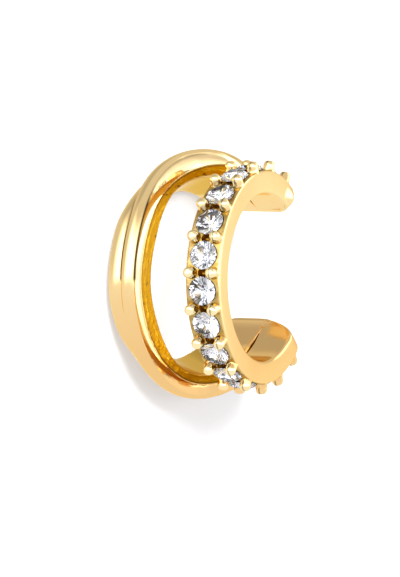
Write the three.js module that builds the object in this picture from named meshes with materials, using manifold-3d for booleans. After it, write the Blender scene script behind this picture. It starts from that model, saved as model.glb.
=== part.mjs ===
// An open ear cuff of gold-plated brass: a C-shaped ring of two bands. One band carries a row of
// brilliant-cut crystals between prongs, the other is a polished band with two flutes. The bands
// part round the closed side, which leaves a lens-shaped gap, and run together at both ends.
//
// The cuff is drawn upright, round its own axis: X runs along the axis towards the crystal band,
// "turn" is the angle round the axis from the closed side, in degrees, and "radius" is the distance
// from the axis. It is then laid on its side, polished band down, on the three points that carry it.
// Millimetres.

import * as THREE from 'three';
import { mergeVertices } from 'three/addons/utils/BufferGeometryUtils.js';
import Module from 'manifold-3d';

// ---- the bore and the two ends ----
const BORE_RADIUS = 4.09;

// The turn of each end, and the quarter ellipses that round its two corners: run along the band and
// reach across it. The near corner may also swell between its two edges. The nose rounds the very end
// over a run and leaves a share of the wall's thickness.
const ENDS = {
  upper: {
    turn: -139.6,
    near: { run: 0.9, reach: 1.3, swell: 0.16 },
    far: { run: 0.9, reach: 1.2 },
    nose: { run: 0.5, share: 0.35 },
  },
  lower: {
    turn: 144,
    near: { run: 1.45, reach: 2.6, swell: 0 },
    far: { run: 1, reach: 1.2 },
    nose: { run: 0.25, share: 0.72 },
  },
};

const SWELL_FROM = 1.6;            // how far before the end the near side begins to swell
const SWELL_RISE = 1.1;            // over which length it swells to the full

// ---- the crystal band ----
const BAND_HALF_WIDTH = 0.9;
const BAND_RADIUS = 5.2;
const BAND_EDGE = 0.08;            // bevel along its long edges
const BAND_SHORT = 0.16;           // how much shorter it is than the polished band at the lower end
const BAND_BORE_EDGE = 0.14;       // bevel between its near side and the bore
const STONES = 13;
const STONE_PITCH = 19.17;         // degrees from one crystal to the next
const STONE_SHIFT = 0.7;           // turn of the middle crystal
const STONE_RADIUS = 0.71;
const GIRDLE_RADIUS = 5.24;        // where the crystals' girdles stand
const SEAT_GAP = 0.04;
const PRONG_OFFSET = 0.59;         // from the middle of the band to a prong's axis
const PRONG_RADIUS = 0.3;          // at its foot
const PRONG_NECK = 0.265;          // the radius under its domed tip
const PRONG_ROOT = 4.75;
const PRONG_TIP = 5.73;

// ---- the brilliant cut, as shares of the crystal's radius ----
const TABLE = 0.56;
const STAR_RING = 0.77;
const STAR_HEIGHT = 0.2;
const CROWN_HEIGHT = 0.32;
const GIRDLE_HEIGHT = 0.05;
const PAVILION_RING = 0.2;
const PAVILION_DEPTH = 0.86;
const CUT = 8;                     // the cut's symmetry

// ---- the polished band ----
const FLUTE_DEPTH = 0.65;          // how far a flute's arc falls from its crest to its edge
const BACK_FLUTE_HALF = 0.54;      // half the width of the back flute
const CREASE_DROP = 0.22;          // from the front flute's crest down to the crease beside it
const INNER_ROUND = 0.12;          // rounding between the bore and the near side, where they are free
const SHOULDER_SWELL = 0.03;       // how far the shoulder's middle stands proud of a straight bevel
const RIM_ROUND = 0.22;            // rounding between the bore and the far rim
const RIM_FALL = 0.42;             // how far the back flute falls from its crest to the rim
const BLEND_FROM = 26;             // turn at which the crease between the flutes has half faded
const BLEND_OVER = 7;
const CRISP = 0.013;
const SOFT = 0.26;

// Sections of the polished band, in order round the ring. near is the side that faces the crystal
// band and far the outer rim, both along the axis. front and back are the flutes' crest radii, bevel
// is the width of the polished shoulder on the near side, crest the distance from the near side to
// the front crest, and cast the radius where the shoulder ends and the rough casting begins. inner is
// the radius where the near wall meets the bore, which tapers from there to the far rim.
const SECTION_COLUMNS = ['turn', 'near', 'far', 'front', 'back', 'bevel', 'crest', 'cast', 'inner'];
const SECTIONS = [
  [-140, -0.73, -3.37, 5.41, 5.2, 0.17, 0.48, 5.2, 4.09],
  [-129, -0.89, -3.5, 5.74, 5.21, 0.2, 0.5, 5.28, 4.09],
  [-120, -1.04, -3.64, 5.98, 5.24, 0.22, 0.52, 5.37, 4.11],
  [-106, -1.52, -3.86, 6.15, 5.33, 0.18, 0.54, 5.48, 4.62],
  [-95, -2.04, -3.94, 6.19, 5.42, 0.19, 0.52, 5.42, 4.84],
  [-80, -2.6, -4.03, 6.18, 5.55, 0.21, 0.49, 5.29, 4.78],
  [-64, -2.95, -4.12, 6.15, 5.72, 0.2, 0.49, 5.24, 4.66],
  [-50, -3.1, -4.38, 6.12, 5.89, 0.15, 0.45, 5.24, 4.42],
  [-30, -3.19, -4.7, 6.1, 6.01, 0.1, 0.43, 5.24, 4.16],
  [0, -3.28, -4.82, 6.08, 6.03, 0.07, 0.43, 5.24, 4.09],
  [20, -3.21, -4.65, 6.08, 5.98, 0.07, 0.42, 5.24, 4.12],
  [38, -3.09, -4.26, 6.07, 5.85, 0.07, 0.39, 5.24, 4.3],
  [54, -2.91, -4.12, 6.07, 5.68, 0.07, 0.36, 5.24, 4.58],
  [70, -2.67, -4.12, 6.07, 5.55, 0.07, 0.33, 5.27, 4.74],
  [84, -2.34, -4.16, 6.05, 5.42, 0.09, 0.31, 5.29, 4.8],
  [96, -1.91, -4.16, 6.05, 5.37, 0.1, 0.35, 5.29, 4.78],
  [108, -1.43, -3.99, 6.02, 5.33, 0.13, 0.39, 5.29, 4.58],
  [122, -1.07, -3.68, 5.9, 5.25, 0.17, 0.43, 5.24, 4.15],
  [132, -0.89, -3.53, 5.7, 5.22, 0.17, 0.45, 5.22, 4.09],
  [145, -0.5, -3.36, 5.44, 5.2, 0.17, 0.48, 5.2, 4.09],
];

// ---- how finely the curves are cut into facets ----
const STATION_STEP = 4.6;          // degrees between sections
const ROUND_STEPS = 2;
const SHOULDER_STEPS = 3;
const CROWN_STEPS = 12;
const FLANK_STEPS = 4;
const PRONG_SIDES = 10;
const SEAT_SIDES = 16;

const GOLD = { color: 0xe3b04f, metalness: 1, roughness: 0.14 };
const CRYSTAL = { color: 0xf4f7fb, metalness: 0, roughness: 0.03 };

const wasm = await Module();
wasm.setup();

// ---------------------------------------------------------------- curves

/** Numbers from first to last, both included, in `steps` equal steps. */
function spread(first, last, steps) {
  return Array.from({ length: steps + 1 }, (_, i) => first + ((last - first) * i) / steps);
}

/** A curve through the sections' values of one column that never swings past them. */
function smoothColumn(column) {
  const at = SECTIONS.map((row) => row[0]);
  const value = SECTIONS.map((row) => row[SECTION_COLUMNS.indexOf(column)]);
  const gap = at.slice(1).map((turn, i) => turn - at[i]);
  const slope = gap.map((g, i) => (value[i + 1] - value[i]) / g);
  const tangent = value.map((_, i) => {
    if (i === 0) return slope[0];
    if (i === value.length - 1) return slope[i - 1];
    if (slope[i - 1] * slope[i] <= 0) return 0;
    const before = 2 * gap[i] + gap[i - 1];
    const after = gap[i] + 2 * gap[i - 1];
    return (before + after) / (before / slope[i - 1] + after / slope[i]);
  });
  return (turn) => {
    let i = 0;
    while (i < gap.length - 1 && turn > at[i + 1]) i += 1;
    const t = (turn - at[i]) / gap[i];
    const s = 1 - t;
    return (
      value[i] * (1 + 2 * t) * s * s +
      tangent[i] * gap[i] * t * s * s +
      value[i + 1] * (1 + 2 * s) * t * t -
      tangent[i + 1] * gap[i] * s * t * t
    );
  };
}

const COLUMNS = {};
for (const column of SECTION_COLUMNS.slice(1)) COLUMNS[column] = smoothColumn(column);

/** The larger of two heights, rounded where they cross. */
function blendedMax(a, b, softness) {
  return (a + b + Math.hypot(a - b, softness)) / 2;
}

/** An elliptical arc's fall below its crest, at a share of its half width. */
function arcFall(share, depth) {
  if (share >= 1) return depth + 3 * (share - 1);
  return depth * (1 - Math.sqrt(1 - share * share));
}

/** The end that a turn belongs to. */
function endOf(turn) {
  return turn < 0 ? ENDS.upper : ENDS.lower;
}

/** How far a turn is from its end, in millimetres along the outside of the band. */
function toEnd(turn) {
  return THREE.MathUtils.degToRad(Math.abs(endOf(turn).turn - turn)) * BAND_RADIUS;
}

/** The turn that stands a length in millimetres before an end. */
function turnBefore(end, length) {
  return end.turn - Math.sign(end.turn) * THREE.MathUtils.radToDeg(length / BAND_RADIUS);
}

/** How much an end's rounded corner takes off one side ('near' or 'far') at this turn. */
function cornerCut(turn, side) {
  const { run, reach } = endOf(turn)[side];
  const along = Math.max(0, 1 - toEnd(turn) / run);
  return reach * (1 - Math.sqrt(1 - along * along));
}

/** Squeezes a radius towards the middle of the wall over the last stretch of each end. */
function nosed(radius, turn) {
  const { run, share } = endOf(turn).nose;
  const along = Math.max(0, 1 - toEnd(turn) / run);
  const left = 1 - (1 - share) * (1 - Math.sqrt(1 - along * along));
  const middle = (BORE_RADIUS + BAND_RADIUS) / 2;
  return middle + (radius - middle) * left;
}

/** Where the crystal band's near side stands at a turn, along the axis. */
function bandSide(turn) {
  return BAND_HALF_WIDTH - cornerCut(turn, 'near');
}

// ---------------------------------------------------------------- sections

/** The radius of the polished band's fluted outside at a turn, as a function of the axial place. */
function crownAt(turn, s) {
  const frontAxis = s.near - s.crest;
  const backAxis = s.far + BACK_FLUTE_HALF;
  const nearHalf = (s.crest - s.bevel) / Math.sqrt(1 - (1 - CREASE_DROP / FLUTE_DEPTH) ** 2);
  const farHalf = Math.max(BACK_FLUTE_HALF, nearHalf);
  const backDepth = Math.min(FLUTE_DEPTH, s.back - (BORE_RADIUS + BAND_RADIUS) / 2);
  const faded = 1 / (1 + Math.exp((BLEND_FROM - turn) / BLEND_OVER));
  const softness = CRISP + SOFT * faded;
  return (axial) => {
    const half = axial > frontAxis ? nearHalf : farHalf;
    const front = s.front - arcFall(Math.abs(axial - frontAxis) / half, FLUTE_DEPTH);
    const fromBack = (axial - backAxis) / BACK_FLUTE_HALF;
    const rimFall = RIM_FALL * (1 - Math.sqrt(1 - Math.min(0.98, -fromBack) ** 2));
    const back = s.back - (fromBack > 0 ? arcFall(Math.min(1, fromBack), backDepth) : rimFall);
    return blendedMax(front, back, softness) - 0.2 * softness * faded;
  };
}

/** The polished band's closed section at a turn, as [axial, radius] pairs. */
function polishedSection(turn) {
  const s = {};
  for (const [column, at] of Object.entries(COLUMNS)) s[column] = at(turn);
  const crown = crownAt(turn, s);
  const near = Math.min(s.near, bandSide(turn));
  const far = s.far + cornerCut(turn, 'far');
  const round = Math.min(INNER_ROUND, Math.max(0.02, -BAND_HALF_WIDTH - s.near));
  const start = near - s.bevel;
  const top = crown(start);
  const cast = Math.min(s.cast, top - 0.03);
  const points = [];
  for (const angle of spread(Math.PI / 2, 0, ROUND_STEPS)) {
    points.push([
      near - round * (1 - Math.cos(angle)),
      s.inner + round * (1 - Math.sin(angle)),
    ]);
  }
  points.push([near, cast]);
  const slant = Math.hypot(s.bevel, top - cast);
  for (const share of spread(0, 1, SHOULDER_STEPS).slice(1)) {
    const swell = SHOULDER_SWELL * 4 * share * (1 - share);
    points.push([
      near - s.bevel * share + (swell * (top - cast)) / slant,
      cast + (top - cast) * share + (swell * s.bevel) / slant,
    ]);
  }
  for (const share of spread(0, 1, CROWN_STEPS).slice(1)) {
    const axial = start + (far - start) * (1 - (1 - share) ** 1.6);
    points.push([axial, crown(axial)]);
  }
  for (const angle of spread(0, Math.PI / 2, ROUND_STEPS)) {
    points.push([
      far + RIM_ROUND * (1 - Math.cos(angle)),
      BORE_RADIUS + RIM_ROUND * (1 - Math.sin(angle)),
    ]);
  }
  return points.map(([axial, radius]) => [axial, nosed(radius, turn)]);
}

/** The crystal band's closed section at a turn, as [axial, radius] pairs. */
function bandSection(turn) {
  const side = bandSide(turn);
  const low = BORE_RADIUS + BAND_BORE_EDGE;
  const high = BAND_RADIUS - BAND_EDGE;
  const rise = THREE.MathUtils.smoothstep(SWELL_FROM - toEnd(turn), 0, SWELL_RISE);
  const swell = endOf(turn).near.swell * rise;
  return [
    [side - BAND_BORE_EDGE, BORE_RADIUS],
    ...spread(0, 1, FLANK_STEPS).map((share) => [
      side + swell * 4 * share * (1 - share),
      low + (high - low) * share,
    ]),
    [side - BAND_EDGE, BAND_RADIUS],
    [-BAND_HALF_WIDTH + BAND_EDGE, BAND_RADIUS],
    [-BAND_HALF_WIDTH, BAND_RADIUS - BAND_EDGE],
    [-BAND_HALF_WIDTH, BORE_RADIUS + BAND_EDGE],
    [-BAND_HALF_WIDTH + BAND_EDGE, BORE_RADIUS],
  ].map(([axial, radius]) => [axial, nosed(radius, turn)]);
}

/**
 * The turns at which sections stand: even steps, with closer ones over the rounded ends. The last
 * one stands a length short of the lower end.
 */
function stations(short) {
  const closing = [0.8, 0.62, 0.46, 0.32, 0.2, 0.11, 0.04, 0];
  const corners = [ENDS.upper, ENDS.lower].map((end) => turnBefore(end, end.near.run));
  const last = turnBefore(ENDS.lower, short);
  const turns = [
    ...closing.map((share) => turnBefore(ENDS.upper, share * ENDS.upper.near.run)).reverse(),
    ...spread(corners[0], corners[1], Math.round((corners[1] - corners[0]) / STATION_STEP)),
    ...closing.map((share) => turnBefore(ENDS.lower, share * ENDS.lower.near.run)),
  ];
  return [...turns.filter((turn) => turn < last - 0.05), last];
}

/** A closed solid through sections that all have the same number of points. */
function loft(section, turns) {
  const rings = turns.map((turn) => section(turn));
  const around = rings[0].length;
  const positions = [];
  rings.forEach((ring, i) => {
    const angle = THREE.MathUtils.degToRad(turns[i]);
    for (const [axial, radius] of ring) {
      positions.push(axial, -radius * Math.cos(angle), -radius * Math.sin(angle));
    }
  });
  const index = [];
  for (let i = 0; i + 1 < rings.length; i += 1) {
    for (let k = 0; k < around; k += 1) {
      const a = i * around + k;
      const b = i * around + ((k + 1) % around);
      index.push(a, b, a + around, b, b + around, a + around);
    }
  }
  const cap = (i, outward) => {
    const outline = rings[i].map(([axial, radius]) => new THREE.Vector2(axial, radius));
    for (const [a, b, c] of THREE.ShapeUtils.triangulateShape(outline, [])) {
      index.push(i * around + a, i * around + (outward ? c : b), i * around + (outward ? b : c));
    }
  };
  cap(0, true);
  cap(rings.length - 1, false);
  const geometry = new THREE.BufferGeometry();
  geometry.setAttribute('position', new THREE.Float32BufferAttribute(positions, 3));
  geometry.setIndex(index);
  return geometry;
}

// ---------------------------------------------------------------- prongs, seats and crystals

/** Turns a shape drawn along +Y, with its foot at the axis, so that it stands out at a turn. */
function standOut(geometry, turn, axial) {
  geometry.rotateX(Math.PI + THREE.MathUtils.degToRad(turn));
  geometry.translate(axial, 0, 0);
  return geometry;
}

/** The turn of a crystal, counted from 0 at the upper end; halves stand between two crystals. */
function stoneTurn(i) {
  return STONE_SHIFT + (i - (STONES - 1) / 2) * STONE_PITCH;
}

/** One prong: a stubby post that narrows a little to its domed tip. */
function prong(turn, axial) {
  const shoulder = PRONG_TIP - 0.9 * PRONG_NECK;
  const profile = [
    new THREE.Vector2(0, PRONG_ROOT),
    new THREE.Vector2(PRONG_RADIUS, PRONG_ROOT),
    new THREE.Vector2(PRONG_RADIUS, BAND_RADIUS + 0.02),
  ];
  for (const angle of spread(0, Math.PI / 2, 3).slice(0, -1)) {
    profile.push(new THREE.Vector2(
      PRONG_NECK * Math.cos(angle),
      shoulder + (PRONG_TIP - shoulder) * Math.sin(angle),
    ));
  }
  profile.push(new THREE.Vector2(0, PRONG_TIP));
  return standOut(new THREE.LatheGeometry(profile, PRONG_SIDES), turn, axial);
}

/** The pocket that a crystal sits in: its own outline, wider by the seat gap. */
function seat(turn) {
  const radius = STONE_RADIUS + SEAT_GAP;
  const depth = STONE_RADIUS * PAVILION_DEPTH + 2 * SEAT_GAP;
  const girdleFoot = GIRDLE_RADIUS - STONE_RADIUS * GIRDLE_HEIGHT - SEAT_GAP / 2;
  const profile = [
    new THREE.Vector2(0, girdleFoot - depth),
    new THREE.Vector2(radius, girdleFoot),
    new THREE.Vector2(radius, PRONG_TIP + 1),
    new THREE.Vector2(0, PRONG_TIP + 1),
  ];
  return standOut(new THREE.LatheGeometry(profile, SEAT_SIDES), turn, 0);
}

/** A ring of points of the cut, at a share of the radius and a height, both times the radius. */
function cutRing(share, height, count, halfStep) {
  return Array.from({ length: count }, (_, i) => {
    const angle = ((i + (halfStep ? 0.5 : 0)) * 2 * Math.PI) / count;
    const reach = share * STONE_RADIUS;
    return [reach * Math.cos(angle), height * STONE_RADIUS, reach * Math.sin(angle)];
  });
}

/** A round brilliant with its girdle's middle at the origin and its table towards +Y. */
function brilliant() {
  const half = GIRDLE_HEIGHT / 2;
  const rings = [
    cutRing(TABLE, CROWN_HEIGHT, CUT, false),
    cutRing(STAR_RING, STAR_HEIGHT, CUT, true),
    cutRing(1, half, CUT * 2, false),
    cutRing(1, -half, CUT * 2, false),
    cutRing(PAVILION_RING, -PAVILION_DEPTH * (1 - PAVILION_RING), CUT, true),
    [[0, -PAVILION_DEPTH * STONE_RADIUS, 0]],
  ];
  const starts = [];
  const positions = [];
  for (const ring of rings) {
    starts.push(positions.length / 3);
    positions.push(...ring.flat());
  }
  const [table, star, upper, lower, main, culet] = starts;
  const index = [];
  for (let i = 0; i < CUT; i += 1) {
    const next = (i + 1) % CUT;
    const before = (i + CUT - 1) % CUT;
    const tip = 2 * i;
    const side = 2 * i + 1;
    const nextTip = (2 * i + 2) % (2 * CUT);
    if (i > 0 && i < CUT - 1) index.push(table, table + next, table + i);
    index.push(table + i, table + next, star + i);
    index.push(star + before, table + i, upper + tip, upper + tip, table + i, star + i);
    index.push(star + i, upper + side, upper + tip, star + i, upper + nextTip, upper + side);
    index.push(upper + tip, upper + side, lower + tip, upper + side, lower + side, lower + tip);
    index.push(upper + side, upper + nextTip, lower + side, upper + nextTip, lower + nextTip, lower + side);
    index.push(lower + tip, lower + side, main + i, lower + side, lower + nextTip, main + i);
    index.push(main + before, lower + tip, main + i, main + before, main + i, culet);
  }
  const geometry = new THREE.BufferGeometry();
  geometry.setAttribute('position', new THREE.Float32BufferAttribute(positions, 3));
  geometry.setIndex(index);
  return geometry;
}

// ---------------------------------------------------------------- joining

/** A closed geometry as a manifold solid. */
function solid(geometry) {
  geometry.deleteAttribute('normal');
  geometry.deleteAttribute('uv');
  const merged = mergeVertices(geometry, 1e-5);
  return new wasm.Manifold(
    new wasm.Mesh({
      numProp: 3,
      vertProperties: new Float32Array(merged.attributes.position.array),
      triVerts: new Uint32Array(merged.index.array),
    }),
  );
}

/** A manifold solid as a geometry. */
function geometryOf(manifold) {
  const mesh = manifold.getMesh();
  const geometry = new THREE.BufferGeometry();
  geometry.setAttribute('position', new THREE.Float32BufferAttribute(mesh.vertProperties, 3));
  geometry.setIndex([...mesh.triVerts]);
  return geometry;
}

/** The whole cast body: both bands, the prongs between the crystals, and the crystals' seats. */
function goldCuff() {
  let body = solid(loft(bandSection, stations(BAND_SHORT)));
  body = body.add(solid(loft(polishedSection, stations(0))));
  for (let i = 0; i <= STONES; i += 1) {
    for (const side of [-1, 1]) body = body.add(solid(prong(stoneTurn(i - 0.5), side * PRONG_OFFSET)));
  }
  for (let i = 0; i < STONES; i += 1) body = body.subtract(solid(seat(stoneTurn(i))));
  return geometryOf(body);
}

// ---------------------------------------------------------------- lying on its side

/** The frame, in the cuff's own coordinates, in which it lies on the three points that carry it. */
function restingFrame(geometry) {
  const points = geometry.attributes.position;
  const sectors = [
    (p) => p.y < 0,
    (p) => p.y > 0 && p.z > 0,
    (p) => p.y > 0 && p.z < 0,
  ];
  const up = new THREE.Vector3(1, 0, 0);
  const point = new THREE.Vector3();
  for (let pass = 0; pass < 12; pass += 1) {
    const feet = sectors.map((inside) => {
      let lowest = null;
      for (let i = 0; i < points.count; i += 1) {
        point.fromBufferAttribute(points, i);
        if (inside(point) && (!lowest || point.dot(up) < lowest.dot(up))) lowest = point.clone();
      }
      return lowest;
    });
    up.crossVectors(feet[1].clone().sub(feet[0]), feet[2].clone().sub(feet[0])).normalize();
    if (up.x < 0) up.negate();
  }
  const across = new THREE.Vector3(0, 0, -1).addScaledVector(up, up.z).normalize();
  const away = new THREE.Vector3().crossVectors(up, across);
  return new THREE.Matrix4().makeBasis(across, away, up).invert();
}

// ---------------------------------------------------------------- the assembly

const cuff = new THREE.Group();
const body = new THREE.Mesh(goldCuff(), new THREE.MeshStandardMaterial(GOLD));
body.name = 'gold_cuff';
cuff.add(body);
for (let i = 0; i < STONES; i += 1) {
  const crystal = new THREE.Mesh(brilliant(), new THREE.MeshStandardMaterial(CRYSTAL));
  crystal.name = `crystal_${String(i + 1).padStart(2, '0')}`;
  const angle = Math.PI + THREE.MathUtils.degToRad(stoneTurn(i));
  crystal.rotation.x = angle;
  crystal.position.set(0, GIRDLE_RADIUS * Math.cos(angle), GIRDLE_RADIUS * Math.sin(angle));
  cuff.add(crystal);
}

cuff.setRotationFromMatrix(restingFrame(body.geometry));
cuff.updateMatrixWorld(true);
const box = new THREE.Box3().setFromObject(cuff, true);
cuff.position.set(-(box.min.x + box.max.x) / 2, -(box.min.y + box.max.y) / 2, -box.min.z);

const earCuff = new THREE.Group();
earCuff.add(cuff);
export default earCuff;
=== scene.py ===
"""The looks of an open ear cuff: a crystal-set band and a fluted polished band of gold plate.

The cuff is built round its own axis, as a jeweller would measure it: "axial" runs along the axis
towards the crystal band, "turn" is the angle round it from the closed side in degrees, and
"radius" is the distance from it. Those sizes are in millimetres, and Ring turns them into metres.
"""

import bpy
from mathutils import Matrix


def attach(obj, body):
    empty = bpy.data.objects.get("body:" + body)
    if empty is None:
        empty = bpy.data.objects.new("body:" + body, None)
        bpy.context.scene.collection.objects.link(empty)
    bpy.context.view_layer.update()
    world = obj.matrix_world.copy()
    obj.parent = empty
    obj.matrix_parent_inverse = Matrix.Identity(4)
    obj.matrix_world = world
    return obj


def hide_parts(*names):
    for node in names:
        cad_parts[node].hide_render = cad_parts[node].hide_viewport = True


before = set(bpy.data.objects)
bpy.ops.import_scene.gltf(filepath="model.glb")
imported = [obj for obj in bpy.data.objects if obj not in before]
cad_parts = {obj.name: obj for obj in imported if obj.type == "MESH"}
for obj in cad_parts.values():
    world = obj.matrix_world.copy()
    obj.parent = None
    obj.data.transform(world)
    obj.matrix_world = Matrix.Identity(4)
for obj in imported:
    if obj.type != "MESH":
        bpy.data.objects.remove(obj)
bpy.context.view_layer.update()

import functools
import logging
import math
from dataclasses import dataclass, fields
from enum import Enum

import bpy
import numpy as np
from mathutils import Matrix, Vector, noise

log = logging.getLogger("ear_cuff")

MM = 0.001
Colour = tuple[float, float, float]
Direction = tuple[float, float, float]
Socket = bpy.types.NodeSocket

# One size, or one for each turn.
Size = float | np.ndarray

# Axial and radius of the points along a stretch of outline.
Stretch = tuple[np.ndarray, np.ndarray]


class Join(Enum):
    """How one solid is joined to another."""

    UNION = "UNION"
    CUT = "DIFFERENCE"


class Mask(Enum):
    """The masks that are stored on the gold body's points."""

    # The rough, as-cast wall; its deep amber is painted shade and gold-on-gold reflection.
    CAST = "cast"
    # Dark lines painted as shade in the creases, and as a reflection down one row of prongs.
    CREASE = "crease"
    # Where a paler gold is painted on the shoulder as a highlight.
    SHOULDER_HIGHLIGHT = "shoulder"
    # Where a dark line of painted shade runs along the rough wall's boundary.
    LIP_SHADE = "lip"
    # Where the face between the crystals is painted darker, as shade, and made rougher.
    SET_FACE = "set_face"
    # Where the hollows between the crystals are painted dark, as shade.
    HOLLOW_SHADE = "hollow"
    # Where the prongs' tips are painted paler, as a highlight.
    TIP = "tip"
    # Where the tapered bore is painted darker, as shade.
    TAPER = "taper"


# ---------------------------------------------------------------- measures and meshes


@dataclass(frozen=True)
class Fade:
    """A rise from 0 at start to 1 at full, which may lie either way from start."""

    start: float
    full: float

    def of(self, value: np.ndarray) -> np.ndarray:
        """The rise at each value, even and never past 0 or 1."""
        return np.clip((value - self.start) / (self.full - self.start), 0, 1)


def bell(value: np.ndarray, middle: Size, width: Size) -> np.ndarray:
    """A smooth bump that is 1 at its middle and all but gone two widths away."""
    return np.exp(-(((value - middle) / width) ** 2))


def steps(count: int) -> np.ndarray:
    """Even shares of a stretch, from the first step's end up to 1."""
    return np.linspace(0, 1, count + 1)[1:]


def quarter_turn(count: int) -> np.ndarray:
    """The angles of a quarter circle in even steps, both ends included."""
    return np.linspace(0, math.pi / 2, count + 1)


def joined_outline(stretches: list[Stretch], count: int) -> Stretch:
    """Joins stretches of outline into one.

    Args:
        stretches: Axial and radius of each stretch's points, a row for each section or one for all.
        count: How many sections there are.

    Returns:
        Axial and radius of all the points, a row for each section.
    """
    axial, radius = (
        np.concatenate([np.broadcast_to(part, (count, part.shape[-1])) for part in parts], axis=1)
        for parts in zip(*stretches)
    )
    return axial, radius


def points_of(mesh: bpy.types.Mesh) -> np.ndarray:
    """Reads a mesh's points.

    Args:
        mesh: The mesh.

    Returns:
        One row of three numbers for each point.
    """
    points = np.empty(len(mesh.vertices) * 3)
    mesh.vertices.foreach_get("co", points)
    return points.reshape(-1, 3)


def store(mesh: bpy.types.Mesh, name: str, values: np.ndarray) -> None:
    """Stores a number or a vector on each of a mesh's points.

    Args:
        mesh: The mesh.
        name: The name by which a material reads it.
        values: One number, or one row of three, for each point.
    """
    kind, key = ("FLOAT", "value") if values.ndim == 1 else ("FLOAT_VECTOR", "vector")
    layer = mesh.attributes.new(name, kind, "POINT")
    layer.data.foreach_set(key, values.astype(np.float32).ravel())



# ---------------------------------------------------------------- the cuff's own coordinates


@dataclass(frozen=True)
class Ring:
    """The cuff's own axes, found from its crystals, which stand on a circle round its axis."""

    centre: Vector
    axis: Vector
    opening: Vector
    across: Vector

    @classmethod
    def from_crystals(cls, names: list[str], middle_turn: float) -> "Ring":
        """Finds the axes.

        Args:
            names: The crystals' nodes, in order round the ring.
            middle_turn: How far the middle crystal is turned from the closed side, in degrees.

        Returns:
            The ring that the crystals stand on.
        """
        middles = [cls.middle_of(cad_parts[name]) for name in names]
        first, closed, last = middles[0], middles[len(middles) // 2], middles[-1]
        axis = (last - closed).cross(first - closed).normalized()
        if axis.z < 0:
            axis.negate()
        chord = last - first
        to_closed = closed - first
        normal = chord.cross(to_closed)
        centre = first + (
            normal.cross(chord) * to_closed.length_squared
            + to_closed.cross(normal) * chord.length_squared
        ) / (2 * normal.length_squared)
        opening = Matrix.Rotation(-math.radians(middle_turn), 3, axis) @ (centre - closed).normalized()
        return cls(centre, axis, opening, axis.cross(opening))

    @staticmethod
    def middle_of(node: bpy.types.Object) -> Vector:
        """The mean of a node's points, in metres."""
        return Vector(points_of(node.data).mean(axis=0))

    def matrix(self) -> Matrix:
        """The matrix from the ring's millimetres, upright, to the row frame's metres."""
        columns = Matrix((self.axis, self.opening, self.across)).transposed()
        return Matrix.Translation(self.centre) @ columns.to_4x4() @ Matrix.Scale(MM, 4)

    def to_metres(self, points: np.ndarray) -> np.ndarray:
        """Turns upright millimetres into metres in the row frame.

        Args:
            points: One row of three numbers for each point.

        Returns:
            The same points in the row frame.
        """
        placing = np.array(self.matrix())
        return points @ placing[:3, :3].T + placing[:3, 3]

    def to_ring(self, points: np.ndarray) -> np.ndarray:
        """Turns metres in the row frame into axial, radius and turn.

        Args:
            points: One row of three numbers for each point.

        Returns:
            One row of axial and radius in millimetres and turn in degrees for each point.
        """
        placing = np.array(self.matrix().inverted())
        upright = points @ placing[:3, :3].T + placing[:3, 3]
        radius = np.hypot(upright[:, 1], upright[:, 2])
        turn = np.degrees(np.arctan2(-upright[:, 2], -upright[:, 1]))
        return np.stack([upright[:, 0], radius, turn], axis=1)


def upright(axial: np.ndarray, radius: np.ndarray, turn: np.ndarray) -> np.ndarray:
    """Points of the upright cuff.

    Args:
        axial: Distances along the axis.
        radius: Distances from the axis.
        turn: Angles from the closed side, in degrees.

    Returns:
        An array with the three coordinates last.
    """
    angle = np.radians(turn)
    points = np.broadcast_arrays(axial, -radius * np.cos(angle), -radius * np.sin(angle))
    return np.stack(points, axis=-1)


# ---------------------------------------------------------------- shells


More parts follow.
